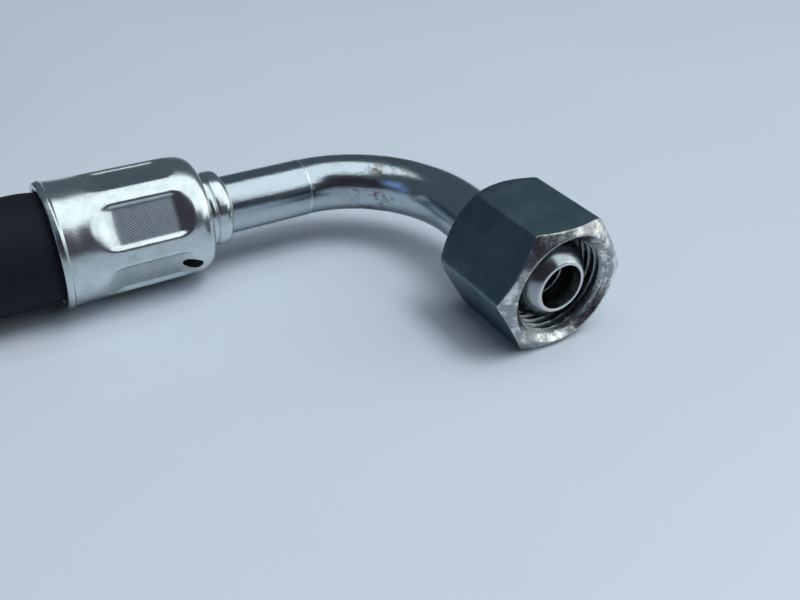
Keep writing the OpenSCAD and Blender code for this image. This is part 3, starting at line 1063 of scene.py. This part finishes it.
def union_nut(name, matrix, body, node):
    """A chamfered hexagon nut with unevenly worn edges and nicked corners."""
    columns = nut_columns()
    hexed = hexagon(columns)
    front_x = -(hexed - FRONT_FACE_R) * math.tan(FRONT_CHAMFER)
    back_x = -NUT_LEN + (hexed - BACK_FACE_R) * math.tan(BACK_CHAMFER)
    worn = 0.10 + 0.05 * np.sin(columns * 7 + 1) * np.sin(columns * 17)
    rows = nut_outside(hexed, front_x, back_x, worn) + nut_inside(columns)
    x = np.array([row[0] + 0 * columns for row in rows])
    r = np.array([row[1] + 0 * columns for row in rows])
    angle = columns + 0 * x
    nicked_from, nick_depth = 12.2, 0.09
    nick = np.clip(np.sin(angle * 23 + x * 2.1) * np.sin(angle * 41 - x * 3.3 + 1) - 0.55, 0, 1)
    r = r - nick_depth * nick * smooth((r - nicked_from) / 0.3)
    local = around(x, r, angle)
    faces = ring_faces(len(rows), len(columns))
    mesh = closed_mesh(name, apply_matrix(matrix, local), faces, NUT_CREASE)
    set_attribute(mesh, "local", local)
    mark_nut(mesh, x, r, front_x, back_x)
    return add_piece(name, mesh, NUT_ZINC, body, node)


def mark_nut(mesh, x, r, front_x, back_x):
    """Stores how bright the machined ends and worn corners are, and where the painted shade inside the
    thread begins.
    """
    bright_from, back_share, corner_share = 12.3, 0.75, 0.37
    front = smooth((x - front_x + 0.25) / 0.3)
    back = back_share * smooth((back_x - x + 0.2) / 0.3)
    corner = corner_share * smooth((r - bright_from) / 0.2)
    bright = np.maximum(np.maximum(front, back), corner)
    bright = np.where(r < MOUTH_R + 0.1, 1.0, bright)
    # painted shade: darkens the thread from this depth inwards
    inside_from = 1.1
    deep = smooth((-inside_from - x) / 0.4)
    inner = deep * (r < MOUTH_R) * smooth((MOUTH_R + 0.025 - r) / 0.5)
    set_attribute(mesh, "bright", bright.ravel())
    set_attribute(mesh, "inner", inner.ravel())


union_nut("swivel_nut_a", HEAD_A, "nut_a", "union_nut_a")
nut_far = union_nut("swivel_nut_b", HEAD_B, "nut_b", "union_nut_b")


# ---- cable ties
def tie_frame(turn):
    """X across the hose outwards, Y up the stack, Z along the hose; zero in the lower strand."""
    p = coil_point(turn)
    heading = math.radians(180 - turn)
    along = Vector((math.cos(heading), math.sin(heading), 0))
    outward = Vector((-math.sin(heading), math.cos(heading), 0))
    turned = Matrix((outward, UP, along)).transposed().to_4x4()
    return Matrix.Translation(Vector((p.x, p.y, mouth_a.z))) @ turned @ Matrix.Scale(MM, 4)


def rounded_rectangle(half_a, half_b, corner, steps):
    """The outline of a rectangle with eased corners."""
    return rounded([
        (-half_a, -half_b, corner),
        (half_a, -half_b, corner),
        (half_a, half_b, corner),
        (-half_a, half_b, corner),
    ], steps)


def cable_tie(name, turn, node):
    """A strap round both strands of the coil, with its ratchet box on the outer side."""
    gap = SECOND_Z - AXIS_Z
    middle_r = HOSE_R + TIE_CLEARANCE + TIE_HALF_THICK
    section = rounded_rectangle(TIE_HALF_THICK, TIE_HALF_WIDTH, TIE_CORNER, 3)
    arc_steps, side_steps = 25, 12
    loop = []
    for a in np.linspace(-math.pi, 0, arc_steps):
        loop.append((middle_r * math.cos(a), middle_r * math.sin(a), math.cos(a), math.sin(a)))
    for y in np.linspace(0, gap, side_steps)[1:-1]:
        loop.append((middle_r, y, 1, 0))
    for a in np.linspace(0, math.pi, arc_steps):
        loop.append((middle_r * math.cos(a), gap + middle_r * math.sin(a), math.cos(a), math.sin(a)))
    for y in np.linspace(gap, 0, side_steps)[1:-1]:
        loop.append((-middle_r, y, -1, 0))
    points = []
    for x, y, out_x, out_y in loop:
        for depth, width in section:
            points.append((x + out_x * depth, y + out_y * depth, width))
    faces = ring_faces(len(loop), len(section))
    head_points, head_faces = tie_head(middle_r + TIE_HALF_THICK, gap / 2)
    faces += [[k + len(points) for k in face] for face in head_faces]
    local = np.concatenate([points, head_points])
    mesh = closed_mesh(name, apply_matrix(tie_frame(turn), local), faces)
    set_attribute(mesh, "local", local)
    return add_piece(name, mesh, NYLON, FIXED_BODY, node)


def tie_head(x0, middle_y):
    """The ratchet box, drawn in towards its outer face, and the cut tail that stands out of it."""
    points, faces = [], []

    def block(levels, corner, steps=3):
        """A closed stack of rounded rectangles; each level is (x, half height, half width)."""
        start = len(points)
        for x, half_h, half_w in levels:
            size = min(corner, 0.9 * half_h, 0.9 * half_w)
            for y, z in rounded_rectangle(half_h, half_w, size, steps):
                points.append((x, middle_y + y, z))
        ring = 4 * (steps + 1)
        for level in range(len(levels) - 1):
            for k in range(ring):
                a = start + level * ring
                faces.append([a + k, a + (k + 1) % ring, a + ring + (k + 1) % ring, a + ring + k])
        faces.append([start + k for k in range(ring)])
        last = start + (len(levels) - 1) * ring
        faces.append([last + k for k in range(ring - 1, -1, -1)])

    half_h, half_w, box_len = 4.0, 3.75, 4.9
    block([
        (x0 - 0.2, half_h - 0.3, half_w - 0.25),
        (x0 + 0.2, half_h, half_w),
        (x0 + box_len - 1.3, half_h, half_w),
        (x0 + box_len - 0.3, half_h - 0.2, half_w - 0.25),
        (x0 + box_len, half_h - 0.5, half_w - 0.55),
        (x0 + box_len, 1.3, 2.7),
        (x0 + box_len - 0.7, 1.1, 2.5),
    ], 0.9)
    tail_h, tail_w = 0.6, 2.3
    block([
        (x0 + box_len - 1.0, tail_h, tail_w),
        (x0 + box_len + 0.15, tail_h, tail_w),
        (x0 + box_len + 0.3, tail_h - 0.1, tail_w - 0.1),
    ], 0.25)
    return np.array(points), faces


ties = [
    cable_tie("cable_tie_near", TIE_TURNS[0], "cable_tie_1"),
    cable_tie("cable_tie_far", TIE_TURNS[1], "cable_tie_2"),
]


# ---- floor and light
LIGHT_HEIGHT = 1.5
SOFTBOX_RADIANCE = 1.35
SOFTBOX_WHITE = (0.93, 0.98, 1.0)
LAMP_RADIANCE = 7.5
LAMP_WHITE = (0.93, 0.96, 1.0)
SKY_RADIANCE = 0.6
SKY_BLUE = (0.28, 0.48, 1.0)
WINDOW_PLACE = (2.2, -1.0, 0.62)
WINDOW_SIZE = (2.8, 1.0)
WINDOW_RADIANCE = 1.4
WINDOW_WHITE = (1.0, 1.0, 0.97)
VIEWER_DISTANCE = 0.30
VIEWER_X = (-0.48, 0.10)
VIEWER_Z = (0.02, 0.39)
ROOM_COLOUR = (0.40, 0.52, 0.62, 1)
ROOM_STRENGTH = 0.24


def add_plane(name, corners, material):
    """A four-cornered sheet of the stage, which is no part of the object."""
    mesh = bpy.data.meshes.new(name)
    mesh.from_pydata(corners, [], [[0, 1, 2, 3]])
    mesh.materials.append(material)
    plane = bpy.data.objects.new(name, mesh)
    bpy.context.scene.collection.objects.link(plane)
    return plane


def add_floor():
    half = 4.0
    floor = [(-half, -half, 0), (half, -half, 0), (half, half, 0), (-half, half, 0)]
    add_plane("floor", floor, pale_floor())


def add_area(name, middle, target, width, height, radiance, tint):
    """A rectangular light that looks at its target; the camera doesn't see it."""
    data = bpy.data.lights.new(name, "AREA")
    data.shape = "RECTANGLE"
    data.size = width
    data.size_y = height
    data.energy = radiance * math.pi * width * height
    data.color = tint
    light = bpy.data.objects.new(name, data)
    bpy.context.scene.collection.objects.link(light)
    middle = Vector(middle)
    light.location = middle
    light.rotation_euler = (Vector(target) - middle).to_track_quat("-Z", "Y").to_euler()
    light.visible_camera = False
    return light


def overhead(name, x_range, y_range, radiance, tint):
    """A level softbox; its ranges are directions from the object, as shares of its height."""
    width = (x_range[1] - x_range[0]) * LIGHT_HEIGHT
    depth = (y_range[1] - y_range[0]) * LIGHT_HEIGHT
    middle = (sum(x_range) / 2 * LIGHT_HEIGHT, sum(y_range) / 2 * LIGHT_HEIGHT, LIGHT_HEIGHT)
    return add_area(name, middle, (middle[0], middle[1], 0), width, depth, radiance, tint)


def add_viewer():
    """An upright sheet where the viewer stands; only the metal reflects it."""
    y = BEND_POINT.y - VIEWER_DISTANCE
    left, right = (BEND_POINT.x + x for x in VIEWER_X)
    low, high = VIEWER_Z
    corners = [(left, y, low), (right, y, low), (right, y, high), (left, y, high)]
    viewer = add_plane("viewer", corners, dark_cloth())
    viewer.visible_camera = False
    viewer.visible_diffuse = False
    viewer.visible_shadow = False


def add_room():
    """The dim light that comes from all around."""
    world = bpy.data.worlds.new("room")
    world.use_nodes = True
    background = world.node_tree.nodes["Background"]
    background.inputs["Color"].default_value = ROOM_COLOUR
    background.inputs["Strength"].default_value = ROOM_STRENGTH
    bpy.context.scene.world = world


def add_lights():
    """A softbox overhead, notched where the viewer stands, a blue sky on the left, a lamp that
    lights the sheet without showing in the metal, and a window on the right."""
    overhead("softbox", (0.18, 2.1), (-1.6, 0.40), SOFTBOX_RADIANCE, SOFTBOX_WHITE)
    overhead("softbox_behind", (-0.45, 0.18), (-0.62, 0.40), SOFTBOX_RADIANCE, SOFTBOX_WHITE)
    overhead("blue_window", (-7.0, -1.35), (-1.15, -0.15), SKY_RADIANCE, SKY_BLUE)
    lamp = overhead("lamp", (0.15, 0.65), (-0.5, 0.0), LAMP_RADIANCE, LAMP_WHITE)
    lamp.visible_glossy = False
    target = (0, WINDOW_PLACE[1], WINDOW_PLACE[2])
    add_area("side_window", WINDOW_PLACE, target, *WINDOW_SIZE, WINDOW_RADIANCE, WINDOW_WHITE)


add_floor()
add_lights()
add_viewer()
add_room()
bpy.context.scene.view_settings.view_transform = "Standard"
